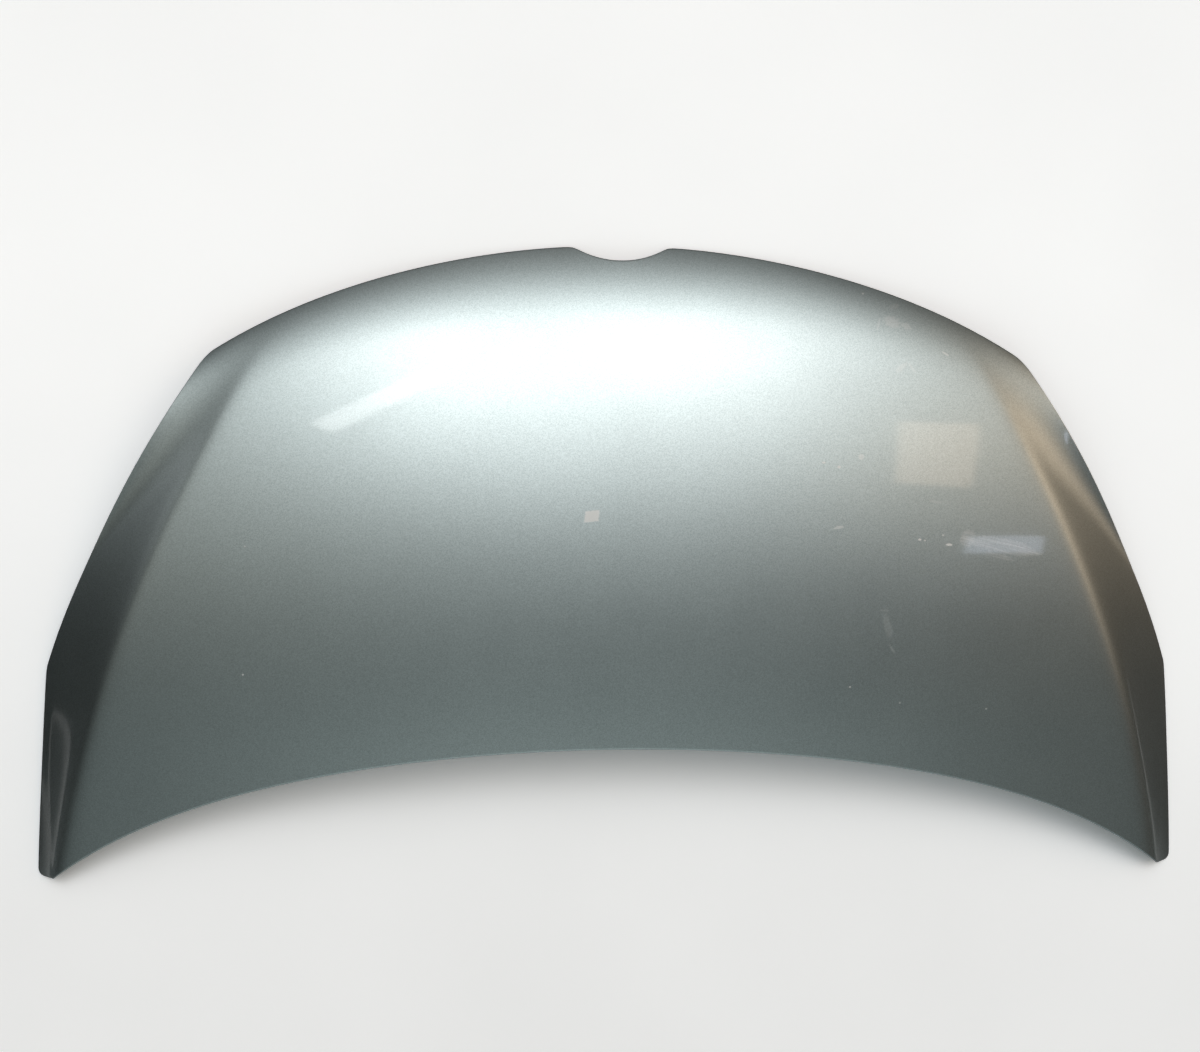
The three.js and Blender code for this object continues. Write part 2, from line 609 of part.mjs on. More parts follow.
// A dab of mastic on one ledge of a field, squeezed between ledge and skin.
function beadGeometry(field, atFront) {
  const along = (atFront ? 1 : -1) * (field.length / 2 - LEDGE_WIDTH / 2);
  const body = new Body();
  const ring = (depth) => [[-1, -1], [1, -1], [1, 1], [-1, 1]].map(([a, b]) => {
    const { x, y } = field.at((field.side * a * BEAD_LENGTH) / 2, along + (b * BEAD_WIDTH) / 2);
    return body.add(under(x, y, depth));
  });
  const upper = ring(SKIN + BEAD_GAP);
  const lower = ring(LEDGE_DEPTH - BEAD_GAP);
  body.quad(...upper);
  body.quad(...[...lower].reverse());
  body.band(upper, lower);
  return body.geometry();
}

const material = (color, roughness, metalness) =>
  new THREE.MeshStandardMaterial({ color, roughness, metalness });
const paint = () => material(0x77827f, 0.32, 0.6);
const primer = () => material(0x5c6664, 0.5, 0.4);
const zincSteel = () => material(0x9a9d9c, 0.45, 0.9);
const mastic = () => material(0x2b2b2a, 0.85, 0);
const plastic = () => material(0x1c1c1d, 0.55, 0);

const bonnet = new THREE.Group();
bonnet.name = "bonnet";

function addPart(name, geometry, surface, place, lift = 0, x = 0, y = 0) {
  const mesh = new THREE.Mesh(geometry, surface);
  mesh.name = name;
  if (place) {
    mesh.position.set(x, y, lift).applyMatrix4(place.matrix);
    mesh.quaternion.setFromRotationMatrix(place.matrix);
  }
  bonnet.add(mesh);
  return mesh;
}

addPart("outer_panel", outerPanelGeometry(), paint());
addPart("inner_panel", innerPanelGeometry(), primer());

for (const [side, place] of Object.entries(hingePlaces)) {
  const ends = [["rear", -HINGE_BOLT_PITCH / 2], ["front", HINGE_BOLT_PITCH / 2]];
  const holes = ends.map(([, y]) => [0, y]);
  const plate = plateGeometry(
    HINGE_PLATE_WIDTH, HINGE_PLATE_LENGTH, HINGE_PLATE_SHEET, holes, HINGE_BOLT_HOLE,
  );
  addPart(`hinge_reinforcement_${side}`, plate, zincSteel(), place, FIT_GAP);
  const lift = HINGE_PLATE_SHEET + 2 * FIT_GAP;
  for (const [end, y] of ends) {
    const nut = nutGeometry(HINGE_NUT_WIDTH, HINGE_NUT_HEIGHT, HINGE_NUT_BORE);
    addPart(`hinge_weld_nut_${side}_${end}`, nut, zincSteel(), place, lift, 0, y);
  }
}

const latchHoles = [["left", -LATCH_BOLT_PITCH / 2], ["right", LATCH_BOLT_PITCH / 2]];
const latchPlate = plateGeometry(
  LATCH_PLATE_LENGTH, LATCH_PLATE_WIDTH, LATCH_PLATE_SHEET, latchHoles.map(([, x]) => [x, 0]), LATCH_BOLT_HOLE,
);
addPart("latch_reinforcement", latchPlate, zincSteel(), latchPlace, FIT_GAP);
for (const [side, x] of latchHoles) {
  const nut = nutGeometry(LATCH_NUT_WIDTH, LATCH_NUT_HEIGHT, LATCH_NUT_BORE);
  addPart(`latch_weld_nut_${side}`, nut, zincSteel(), latchPlace, LATCH_PLATE_SHEET + 2 * FIT_GAP, x);
}

addPart("stay_rod_grommet", grommetGeometry(), plastic(), socket);

for (const field of fields) {
  const side = field.side < 0 ? "left" : "right";
  const base = `mastic_bead_${side}_${field.across}_${field.along}`;
  addPart(`${base}_cross_rib`, beadGeometry(field, field.along === "rear"), mastic());
  if (field.across === "inner") {
    addPart(`${base}_channel`, beadGeometry(field, field.along !== "rear"), mastic());
  }
}

// The origin goes to the middle of the outline, on the plane that the bonnet rests on.
bonnet.updateMatrixWorld(true);
const bounds = new THREE.Box3().setFromObject(bonnet, true);
bonnet.position.set(
  -(bounds.min.x + bounds.max.x) / 2,
  -(bounds.min.y + bounds.max.y) / 2,
  -bounds.min.z,
);

export default bonnet;
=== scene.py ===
import math

import bmesh
import bpy
import numpy as np
from mathutils import Matrix, Vector


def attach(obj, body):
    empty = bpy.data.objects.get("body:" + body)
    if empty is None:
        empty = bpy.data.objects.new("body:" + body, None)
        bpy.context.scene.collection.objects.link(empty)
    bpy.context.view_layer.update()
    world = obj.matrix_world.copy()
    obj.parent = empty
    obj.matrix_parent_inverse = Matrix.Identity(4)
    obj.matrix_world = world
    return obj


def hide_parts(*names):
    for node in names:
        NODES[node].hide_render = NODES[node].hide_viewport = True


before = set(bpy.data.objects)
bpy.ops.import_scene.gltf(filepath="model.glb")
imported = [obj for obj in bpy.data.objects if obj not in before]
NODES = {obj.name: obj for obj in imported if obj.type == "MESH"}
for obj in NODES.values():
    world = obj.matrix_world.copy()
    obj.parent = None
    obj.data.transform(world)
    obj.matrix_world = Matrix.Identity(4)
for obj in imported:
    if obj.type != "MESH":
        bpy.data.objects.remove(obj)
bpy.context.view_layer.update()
MM = 0.001
TINY = 1e-6

# Shape of the bonnet
HALF_WIDTH = 700
CORNER_FLAT = 25
REAR_MIDDLE_Y = -206
REAR_SWEEPS = (126.3, 29, 35.6)
FRONT_MIDDLE_Y = 378.7
FRONT_HALF_SPAN = 510
FRONT_SWEEPS = (135.4, 21.3)
FRONT_CORNER_X = 480.2
KINK_X = 681.1
KINK_SHARE = 0.639
KINK_ROUND = 1.6
EDGE_BOW = 9.3
EDGE_SKEW = 8.4
NOTCH_HALF_WIDTH = 56
NOTCH_DEPTH = 18
NOTCH_SHOULDER = 3
REAR_HEIGHT = 96
REAR_SLOPE = 0.075
NOSE_POWER = 2.1
ROLL_DROP = 11
ROLL_REACH = 105
CROWN_REAR = 66
CROWN_FRONT = 36
CROWN_POWER = 2.2
CREASE_INSET = 32.5
CREASE_SWEEPS = (113.8, 163.7)
FACET_REAR = 0.5
FACET_FRONT = 0.23
CREASE_ROUND = 12
CREASE_FADE = 0.75
SPINE_SLOPE = 0.022
SPINE_ROUND = 3.0
SPINE_REACH = 80.0
SPINE_RISE = (0.3, 0.85)
# From the shape's own middle to the frame of the CAD nodes
FRAME_Y = 0.446
FRAME_Z = 2.168

# Skin and its folded hem
SKIN = 0.7
HEM_WIDTH = 8.0
HEM_MIDDLE = 4.5
HEM_CHAMFER = 0.2
FOLD = 1.55
FOLD_INSIDE = 0.85
CORNER_ROUND = 9.0

# Pressed inner frame
SHEET = 0.7
FIT = 0.3
FRAME_INSET = 2.2
FLANGE_WIDTH = 14
CHANNEL_DEPTH = 24
NOSE_DEPTH = 12
CHANNEL_START = 31
REAR_CHANNEL_END = 111
FRONT_CHANNEL_END = 91
SIDE_FLOOR_INSIDE = 45
SIDE_WALL_SHARE = 0.4
INNER_WALL = 15
LEDGE_DEPTH = 6
LEDGE_WIDTH = 16
RIB_DEPTH = 20
RIB_HALF = 16
RIB_BASE = 28
RIB_SHARE = 0.5
CROSS_RIB = (0.40, 0.43, 0.53, 0.56)
WINDOW_CORNER = 26
LATCH_PAD_HALF = 50
LATCH_PAD_BLEND = 24
SOCKET_BELOW = 3.0
SOCKET_RISE = (1 / 3, 2 / 3)
SHARP_ANGLE = 50
# Bores, in metres
HINGE_BORE = 0.0045
LATCH_BORE = 0.0035
SOCKET_BORE = 0.008
BORE_LENGTH = 0.024
BORE_SIDES = 40

# The skin's net of lines. In the zone along the outline a line keeps its distance from the edge.
EDGE_ZONE = 16.0
EDGE_LINES = (0.0, 1.6, 3.6, 6.4, 10.5)
SPINE_COLUMNS = (0, 0.0035, 0.008, 0.014, 0.022)
FIELD_START = 0.033
FIELD_COLUMNS = 62
CREASE_COLUMNS = 9
FACET_COLUMNS = 18
MIDDLE_ROWS = 76
CREASE_BAND = 36
FACET_LEAST = 6
FOLD_STEPS = 8
INSIDE_STEPS = 6
NET_PASSES = 16
SLOPE_STEP = 0.5
START_SHARE = 0.5

# The frame's own lines have whole numbers, from the centre line out and from the rear to the
# nose. Steps are the fine lines between two of them; a field is the space of a window.
COLUMN_STEPS = (3, 8, "field", 8, 5, 8, "field", 8, 7, 9, 10, 3)
ROW_STEPS = (3, 9, 9, 8, "field", 6, 5, 6, "field", 8, 5, 5, 8, 3)
RIM_COLUMN = 11
RIM_ROWS = (1, 13)
NOSE_ROWS = (10, 11)
HINGE_COLUMNS = (7, 11)
HINGE_ROWS = (1, 4)
FRONT_PAD_ROWS = (9, 13)
CORNER_STEPS = 6
WINDOW_SIDE_LINES = 10
FIELD_SAMPLE_X = 200.0
FRAME_PASSES = 14
FACING_DOWN = -0.7


def lerp(a, b, t):
    return a + (b - a) * t


def smoothstep(t, low, high):
    t = np.clip((t - low) / (high - low), 0, 1)
    return t * t * (3 - 2 * t)


def rear_edge(x):
    t = np.minimum(np.abs(x), HALF_WIDTH - CORNER_FLAT) / HALF_WIDTH
    a, b, c = REAR_SWEEPS
    return REAR_MIDDLE_Y - a * t**2 - b * t**4 - c * t**6


def front_line(x):
    t = np.abs(x) / FRONT_HALF_SPAN
    a, b = FRONT_SWEEPS
    return FRONT_MIDDLE_Y - a * t**2 - b * t**6


def front_edge(x):
    radius = (NOTCH_HALF_WIDTH**2 + NOTCH_DEPTH**2) / (2 * NOTCH_DEPTH)
    line = front_line(x)
    reach = np.sqrt(np.maximum(radius**2 - x**2, 0))
    arc = front_line(NOTCH_HALF_WIDTH) - NOTCH_DEPTH + radius - reach
    notched = (line + arc - np.hypot(line - arc, NOTCH_SHOULDER)) / 2
    return np.where(np.abs(x) < radius, notched, line)


def length_share(x, y):
    rear = rear_edge(x)
    return (y - rear) / (front_line(x) - rear)


def side_edge(v):
    low = lerp(HALF_WIDTH, KINK_X, v / KINK_SHARE)
    s = (v - KINK_SHARE) / (1 - KINK_SHARE)
    on = np.maximum(s, 0)
    bow = 4 * on * (1 - on) * (EDGE_BOW + 2 * EDGE_SKEW * (1 - 2 * on))
    bow = bow + 4 * np.minimum(s, 0) * (EDGE_BOW + 2 * EDGE_SKEW)
    high = lerp(KINK_X, FRONT_CORNER_X, s) + bow
    return (low + high - np.hypot(low - high, KINK_ROUND)) / 2


def crease_x(v):
    a, b = CREASE_SWEEPS
    return HALF_WIDTH - CREASE_INSET - a * v - b * v**2


def height(x, y):
    length = FRONT_MIDDLE_Y - REAR_MIDDLE_Y
    along = np.maximum((y - REAR_MIDDLE_Y) / length, 0)
    drop = (REAR_HEIGHT + REAR_SLOPE * length - ROLL_DROP) * along**NOSE_POWER
    drop = drop + ROLL_DROP * np.maximum(1 - (front_line(x) - y) / ROLL_REACH, 0) ** 3
    spine = REAR_HEIGHT + REAR_SLOPE * (y - REAR_MIDDLE_Y) - drop
    v = np.clip(length_share(x, y), 0, 1)
    crown = lerp(CROWN_REAR, CROWN_FRONT, v) * (np.abs(x) / HALF_WIDTH) ** CROWN_POWER
    outside = np.abs(x) - crease_x(v)
    facet = (outside + np.hypot(outside, CREASE_ROUND)) / 2
    fade = 1 - smoothstep(v, CREASE_FADE, 1)
    ridge = np.exp(-(np.hypot(x, SPINE_ROUND) - SPINE_ROUND) / SPINE_REACH) * SPINE_REACH
    ridge = SPINE_SLOPE * ridge * smoothstep(v, *SPINE_RISE)
    return spine - crown + ridge - lerp(FACET_REAR, FACET_FRONT, v) * facet * fade


def under(x, y, depth):
    """Points at a depth under the painted face, square to it, in metres in the CAD frame."""
    step = SLOPE_STEP
    slope_x = (height(x + step, y) - height(x - step, y)) / (2 * step)
    slope_y = (height(x, y + step) - height(x, y - step)) / (2 * step)
    size = np.sqrt(slope_x**2 + slope_y**2 + 1)
    point = np.stack([x, y, height(x, y)], -1)
    normal = np.stack([-slope_x, -slope_y, np.ones_like(slope_x)], -1) / size[..., None]
    point = point - normal * np.asarray(depth)[..., None]
    return (point + np.array([0, FRAME_Y, FRAME_Z])) * MM


def net_columns():
    """Columns of the right half: (kind, share), from the centre line to the side edge."""
    inner = [("inner", t) for t in SPINE_COLUMNS]
    inner += [("inner", t) for t in np.linspace(FIELD_START, 1, FIELD_COLUMNS)]
    slope = [("crease", t) for t in np.linspace(0, 1, CREASE_COLUMNS + 1)[1:]]
    facet = [("facet", t) for t in np.linspace(0, 1, FACET_COLUMNS + 1)[1:]]
    edge = [("edge", z) for z in reversed(EDGE_LINES)]
    return inner + slope + facet + edge


def column_x(kind, t, v):
    start = crease_x(v) - CREASE_BAND
    rim = side_edge(v) - EDGE_ZONE
    turn = np.minimum(crease_x(v), rim - FACET_LEAST)
    if kind == "inner":
        return t * start
    if kind == "crease":
        return lerp(start, turn, t)
    return lerp(turn, rim, t)


def net_rows():
    rear = [("rear", z) for z in EDGE_LINES]
    middle = [("middle", t) for t in np.linspace(0, 1, MIDDLE_ROWS)]
    front = [("front", z) for z in reversed(EDGE_LINES)]
    return rear + middle + front


COLUMNS = net_columns()
COLUMNS = [(-1, *c) for c in reversed(COLUMNS[1:])] + [(1, *c) for c in COLUMNS]
ROWS = net_rows()


def rounded(s, t):
    """Rounds the outline's corner, for distances s and t from its two edges."""
    d = min(s, t)
    r = CORNER_ROUND - d
    leg = max(s, t) - d
    if r <= 0 or leg >= r:
        return s, t
    angle = (1 - leg / r) * math.pi / 4
    near = d + r - r * math.cos(angle)
    far = d + r - r * math.sin(angle)
    return (near, far) if s <= t else (far, near)


def net_xy(inset=FOLD):
    """x and y of every crossing of the net, in millimetres."""
    shape = (len(ROWS), len(COLUMNS))
    squeeze = (EDGE_ZONE - inset) / EDGE_ZONE
    side = np.array([c[0] for c in COLUMNS], float)[None, :].repeat(len(ROWS), 0)
    x = np.zeros(shape)
    y = np.zeros(shape)
    v = np.full(shape, START_SHARE)
    from_side = np.full(shape, np.inf)
    from_end = np.full(shape, np.inf)
    for r, (row_kind, row_at) in enumerate(ROWS):
        for c, (_, kind, at) in enumerate(COLUMNS):
            s = inset + at * squeeze if kind == "edge" else np.inf
            t = inset + row_at * squeeze if row_kind != "middle" else np.inf
            if kind == "facet" and at == 1:
                s = EDGE_ZONE
            if s < np.inf and t < np.inf:
                s, t = rounded(s, t)
            from_side[r, c] = s
            from_end[r, c] = t
    for _ in range(NET_PASSES):
        for c, (_, kind, at) in enumerate(COLUMNS):
            if kind == "edge":
                x[:, c] = side_edge(v[:, c]) - from_side[:, c]
            else:
                x[:, c] = column_x(kind, at, v[:, c])
        x = np.abs(x) * side
        for r, (row_kind, row_at) in enumerate(ROWS):
            if row_kind == "rear":
                y[r] = rear_edge(x[r]) + from_end[r]
            elif row_kind == "front":
                y[r] = front_edge(x[r]) - from_end[r]
            else:
                y[r] = lerp(rear_edge(x[r]) + EDGE_ZONE, front_edge(x[r]) - EDGE_ZONE, row_at)
        v = length_share(x, y)
    return x, y


def rim_path():
    last_row = len(ROWS) - 1
    last_column = len(COLUMNS) - 1
    path = [(0, c) for c in range(last_column)]
    path += [(r, last_column) for r in range(last_row)]
    path += [(last_row, c) for c in range(last_column, 0, -1)]
    path += [(r, 0) for r in range(last_row, 0, -1)]
    return np.array(path)


class Net:
    """Collects points and faces of one mesh, with a material number per face."""

    def __init__(self):
        self.points = []
        self.faces = []
        self.marks = []
        self.count = 0

    def add(self, points):
        ids = np.arange(self.count, self.count + points[..., 0].size).reshape(points.shape[:-1])
        self.points.append(points.reshape(-1, 3))
        self.count += ids.size
        return ids

    def quads(self, a, b, c, d, mark):
        block = np.stack([a, b, c, d], -1).reshape(-1, 4)
        self.faces.append(block)
        self.marks.append(np.full(len(block), mark))

    def sheet(self, ids, face_up, mark, kept=slice(None)):
        corners = (ids[:-1, :-1], ids[:-1, 1:], ids[1:, 1:], ids[1:, :-1])
        turned = corners if face_up else corners[::-1]
        self.quads(*[corner[kept] for corner in turned], mark)

    def band(self, first, second, mark):
        self.quads(first, second, np.roll(second, -1), np.roll(first, -1), mark)

    def object(self, name, materials):
        mesh = bpy.data.meshes.new(name)
        used, faces = np.unique(np.concatenate(self.faces), return_inverse=True)
        mesh.from_pydata(np.concatenate(self.points)[used], [], faces.reshape(-1, 4))
        for material in materials:
            mesh.materials.append(material)
        marks = np.concatenate(self.marks).astype(np.int32)
        mesh.polygons.foreach_set("material_index", marks)
        mesh.polygons.foreach_set("use_smooth", np.ones(len(mesh.polygons), bool))
        mesh.update()
        piece = bpy.data.objects.new(name, mesh)
        bpy.context.scene.collection.objects.link(piece)
        return piece


def outer_skin(materials):
    """Painted sheet, rounded fold, hem return and underside, as one closed body."""
    painted, inside = 0, 1
    net = Net()
    path = rim_path()
    rows, cols = path[:, 0], path[:, 1]
    x, y = net_xy()

    def ring(inset, depth):
        rx, ry = (x, y) if abs(inset - FOLD) < TINY else net_xy(inset)
        rx, ry = rx[rows, cols], ry[rows, cols]
        return net.add(under(rx, ry, np.full(rx.shape, depth)))

    def bend(radius, share):
        angle = math.pi * share
        return ring(FOLD - radius * math.sin(angle), FOLD - radius * math.cos(angle))

    top = net.add(under(x, y, np.zeros(x.shape)))
    net.sheet(top, True, painted)
    rings = [(top[rows, cols], painted)]
    for k in range(1, FOLD_STEPS + 1):
        rings.append((bend(FOLD, k / FOLD_STEPS), painted))
    lower = 2 * FOLD
    upper = FOLD + FOLD_INSIDE
    hem = (
        (HEM_MIDDLE, lower), (HEM_WIDTH - HEM_CHAMFER, lower), (HEM_WIDTH, lower - HEM_CHAMFER),
        (HEM_WIDTH, upper + HEM_CHAMFER), (HEM_WIDTH - HEM_CHAMFER, upper), (HEM_MIDDLE, upper),
        (FOLD, upper),
    )
    for inset, depth in hem:
        rings.append((ring(inset, depth), inside))
    for k in range(INSIDE_STEPS - 1, 0, -1):
        rings.append((bend(FOLD_INSIDE, k / INSIDE_STEPS), inside))
    below = net.add(under(x, y, np.full(x.shape, SKIN)))
    net.sheet(below, False, inside)
    rings.append((below[rows, cols], inside))
    for (first, _), (second, mark) in zip(rings, rings[1:]):
        net.band(first, second, mark)
    return net.object("bonnet_skin", materials)


def frame_columns(v):
    """The frame's lines across the right half, with their depths, at a length share."""
    crease = crease_x(v)
    rib = RIB_SHARE * crease
    side = side_edge(v)
    flange = side - FLANGE_WIDTH
    floor_inside = crease - SIDE_FLOOR_INSIDE
    return [
        (0 * v, RIB_DEPTH),
        (RIB_HALF + 0 * v, RIB_DEPTH),
        (RIB_BASE + 0 * v, LEDGE_DEPTH),
        (rib - RIB_BASE, LEDGE_DEPTH),
        (rib - RIB_HALF, RIB_DEPTH),
        (rib + RIB_HALF, RIB_DEPTH),
        (rib + RIB_BASE, LEDGE_DEPTH),
        (floor_inside - INNER_WALL, LEDGE_DEPTH),
        (floor_inside, CHANNEL_DEPTH),
        (crease, CHANNEL_DEPTH),
        (lerp(flange, crease, SIDE_WALL_SHARE), CHANNEL_DEPTH),
        (flange, CHANNEL_DEPTH),
        (side - FRAME_INSET, CHANNEL_DEPTH),
    ]


def frame_rows(x):
    """The frame's lines along the bonnet, with their depths, at a place across it."""
    rear = rear_edge(x)
    front = front_edge(x)
    low = rear + REAR_CHANNEL_END + INNER_WALL
    high = front - FRONT_CHANNEL_END - INNER_WALL
    middle = (CHANNEL_START + FRONT_CHANNEL_END) / 2
    cross = [lerp(low, high, share) for share in CROSS_RIB]
    return [
        (rear + FRAME_INSET, CHANNEL_DEPTH),
        (rear + FLANGE_WIDTH, CHANNEL_DEPTH),
        (rear + CHANNEL_START, CHANNEL_DEPTH),
        (rear + REAR_CHANNEL_END, CHANNEL_DEPTH),
        (low, LEDGE_DEPTH),
        (cross[0], LEDGE_DEPTH),
        (cross[1], RIB_DEPTH),
        (cross[2], RIB_DEPTH),
        (cross[3], LEDGE_DEPTH),
        (high, LEDGE_DEPTH),
        (front - FRONT_CHANNEL_END, CHANNEL_DEPTH),
        (front - middle, (CHANNEL_DEPTH + NOSE_DEPTH) / 2),
        (front - CHANNEL_START, NOSE_DEPTH),
        (front - FLANGE_WIDTH, NOSE_DEPTH),
        (front - FRAME_INSET, NOSE_DEPTH),
    ]


def frame_lines(steps, widths):
    """Places of the fine lines: whole numbers are the frame's own lines."""
    lines = []
    for k, count in enumerate(steps):
        if count != "field":
            lines += [k + n / count for n in range(count)]
            continue
        wide = widths[k]
        near = [0, LEDGE_WIDTH / 2]
        near += [LEDGE_WIDTH + WINDOW_CORNER * n / CORNER_STEPS for n in range(CORNER_STEPS + 1)]
        middle = list(np.linspace(near[-1], wide - near[-1], WINDOW_SIDE_LINES)[1:-1])
        far = [wide - n for n in reversed(near[1:])]
        lines += [k + at / wide for at in near + middle + far]
    return np.array(lines + [len(steps)], float)


def along_lines(where, lines, rounded_walls):
    """Value at fractional line numbers; lines is a list of arrays or numbers."""
    k = np.clip(np.floor(where).astype(int), 0, len(lines) - 2)
    share = where - k
    if rounded_walls:
        share = smoothstep(share, 0, 1)
    values = np.stack([np.broadcast_to(line, where.shape) for line in lines])
    low = np.take_along_axis(values, k[None], 0)[0]
    high = np.take_along_axis(values, k[None] + 1, 0)[0]
    return lerp(low, high, share)


def field_widths(lines, steps):
    return {k: float(lines[k + 1] - lines[k]) for k, count in enumerate(steps) if count == "field"}


def raised(where, first, last):
    """1 between two lines, with a slope of one line's width inside either end."""
    return smoothstep(where, first, first + 1) * (1 - smoothstep(where, last - 1, last))


def cut_windows(column, row, across, along, wide, long):
    """Bends the lines round the windows' corners, and says which cells stay sheet."""
    cells = (len(along) - 1, len(across) - 1)
    kept = np.ones(cells, bool)
    cell_c = np.abs((across[1:] + across[:-1]) / 2)[None, :].repeat(cells[0], 0)
    cell_r = ((along[1:] + along[:-1]) / 2)[:, None].repeat(cells[1], 1)
    for c, width in wide.items():
        for r, length in long.items():
            open_wide = width - 2 * LEDGE_WIDTH
            open_long = length - 2 * LEDGE_WIDTH
            inside_c = (cell_c - c) * width - LEDGE_WIDTH
            inside_r = (cell_r - r) * length - LEDGE_WIDTH
            hole_c = (inside_c > 0) & (inside_c < open_wide)
            hole_r = (inside_r > 0) & (inside_r < open_long)
            kept &= ~(hole_c & hole_r)
            s = (column - c) * width - LEDGE_WIDTH
            u = (row - r) * length - LEDGE_WIDTH
            from_c = np.minimum(s, open_wide - s)
            from_r = np.minimum(u, open_long - u)
            on_edge = np.abs(np.minimum(from_c, from_r)) < TINY
            leg = np.maximum(from_c, from_r)
            corner = on_edge & (leg < WINDOW_CORNER - TINY)
            angle = (1 - leg / WINDOW_CORNER) * math.pi / 4
            near = WINDOW_CORNER * (1 - np.cos(angle))
            far = WINDOW_CORNER * (1 - np.sin(angle))
            new_c = np.where(from_c <= from_r, near, far)
            new_r = np.where(from_c <= from_r, far, near)
            new_s = np.where(s * 2 < open_wide, new_c, open_wide - new_c)
            new_u = np.where(u * 2 < open_long, new_r, open_long - new_r)
            column = np.where(corner, c + (new_s + LEDGE_WIDTH) / width, column)
            row = np.where(corner, r + (new_u + LEDGE_WIDTH) / length, row)
    return column, row, kept


def frame_depth(column, row):
    """Depth of the frame's upper face under the painted face."""
    any_place = np.array([START_SHARE])
    across = along_lines(column, [float(d) for _, d in frame_columns(any_place)], True)
    along = along_lines(row, [float(d) for _, d in frame_rows(any_place)], True)
    nose = smoothstep(row, *NOSE_ROWS)
    depth = np.maximum(across * (1 - nose), along)
    within = (1 - smoothstep(column, RIM_COLUMN - 1, RIM_COLUMN)) * raised(row, *RIM_ROWS)
    return lerp(SKIN + FIT, depth, within)


def lowest_face(name):
    """Centre and upward normal of a CAD node's underside, in metres."""
    faces = [face for face in NODES[name].data.polygons if face.normal.z < FACING_DOWN]
    lowest = min(faces, key=lambda face: face.center.z)
    return np.array(lowest.center), -np.array(lowest.normal)


def pressed_flat(points, weight, centre, normal):
    """Moves points straight up or down onto a plane, as far as the weight says."""
    above = (points - centre) @ normal / normal[2]
    points[..., 2] -= weight * above


def press_pads(top, x, v, column, row, side):
    """Flat pads on the CAD's reinforcement plates and at the stay rod's socket."""
    hinge = raised(row, *HINGE_ROWS) * raised(column, *HINGE_COLUMNS)
    front = raised(row, *FRONT_PAD_ROWS)
    latch = front * (1 - smoothstep(x, LATCH_PAD_HALF, LATCH_PAD_HALF + LATCH_PAD_BLEND))
    plates = (
        ("hinge_reinforcement_left", hinge * (side < 0)),
        ("hinge_reinforcement_right", hinge * (side > 0)),
        ("latch_reinforcement", latch),
    )
    for name, weight in plates:
        centre, normal = lowest_face(name)
        pressed_flat(top, weight, centre - normal * FIT * MM, normal)
    rib = RIB_SHARE * crease_x(v) - RIB_BASE
    start, full = [lerp(LATCH_PAD_HALF, rib, share) for share in SOCKET_RISE]
    socket = front * smoothstep(x, start, full)
    socket = socket * (1 - smoothstep(x, rib, rib + RIB_BASE - RIB_HALF))
    centre, normal = lowest_face("stay_rod_grommet")
    pressed_flat(top, socket * (side > 0), centre + normal * SOCKET_BELOW * MM, normal)


def frame_sheet(top, kept):
    """A closed sheet under the points, with walls at the rim and round the windows."""
    normals = np.cross(np.gradient(top, axis=1), np.gradient(top, axis=0))
    normals /= np.linalg.norm(normals, axis=-1)[..., None]
    net = Net()
    upper = net.add(top)
    lower = net.add(top - normals * SHEET * MM)
    net.sheet(upper, True, 0, kept)
    net.sheet(lower, False, 0, kept)
    low, high = slice(0, -1), slice(1, None)
    padded = np.pad(kept, 1)
    borders = (
        ((low, low), (low, high), padded[:-2, 1:-1]),
        ((low, high), (high, high), padded[1:-1, 2:]),
        ((high, high), (high, low), padded[2:, 1:-1]),
        ((high, low), (low, low), padded[1:-1, :-2]),
    )
    for start, end, beside in borders:
        wall = kept & ~beside
        net.quads(lower[start][wall], lower[end][wall], upper[end][wall], upper[start][wall], 0)
    return net.object("bonnet_frame", [PRIMER])


def bore_cutters():
    """Round bores through the pads, one under each nut and one for the socket."""
    bores = {}
    for name in NODES:
        if "weld_nut" in name:
            bores[name] = HINGE_BORE if name.startswith("hinge") else LATCH_BORE
    bores["stay_rod_grommet"] = SOCKET_BORE
    work = bmesh.new()
    for name, radius in bores.items():
        points = np.array([corner.co for corner in NODES[name].data.vertices])
        centre = (points.max(0) + points.min(0)) / 2
        _, normal = lowest_face(name)
        turn = Vector(normal).to_track_quat("Z", "Y").to_matrix().to_4x4()
        bmesh.ops.create_cone(
            work, cap_ends=True, segments=BORE_SIDES, radius1=radius, radius2=radius,
            depth=BORE_LENGTH, matrix=Matrix.Translation(Vector(centre)) @ turn,
        )
    mesh = bpy.data.meshes.new("bores")
    work.to_mesh(mesh)
    work.free()
    cutters = bpy.data.objects.new("bores", mesh)
    bpy.context.scene.collection.objects.link(cutters)
    return cutters


def drill(piece):
    cutters = bore_cutters()
    cut = piece.modifiers.new("holes", "BOOLEAN")
    cut.operation = "DIFFERENCE"
    cut.solver = "EXACT"
    cut.object = cutters
    ready = piece.evaluated_get(bpy.context.evaluated_depsgraph_get())
    mesh = bpy.data.meshes.new_from_object(ready)
    piece.modifiers.clear()
    piece.data = mesh
    mesh.name = "bonnet_frame"
    mesh.set_sharp_from_angle(angle=math.radians(SHARP_ANGLE))
    bpy.data.objects.remove(cutters)


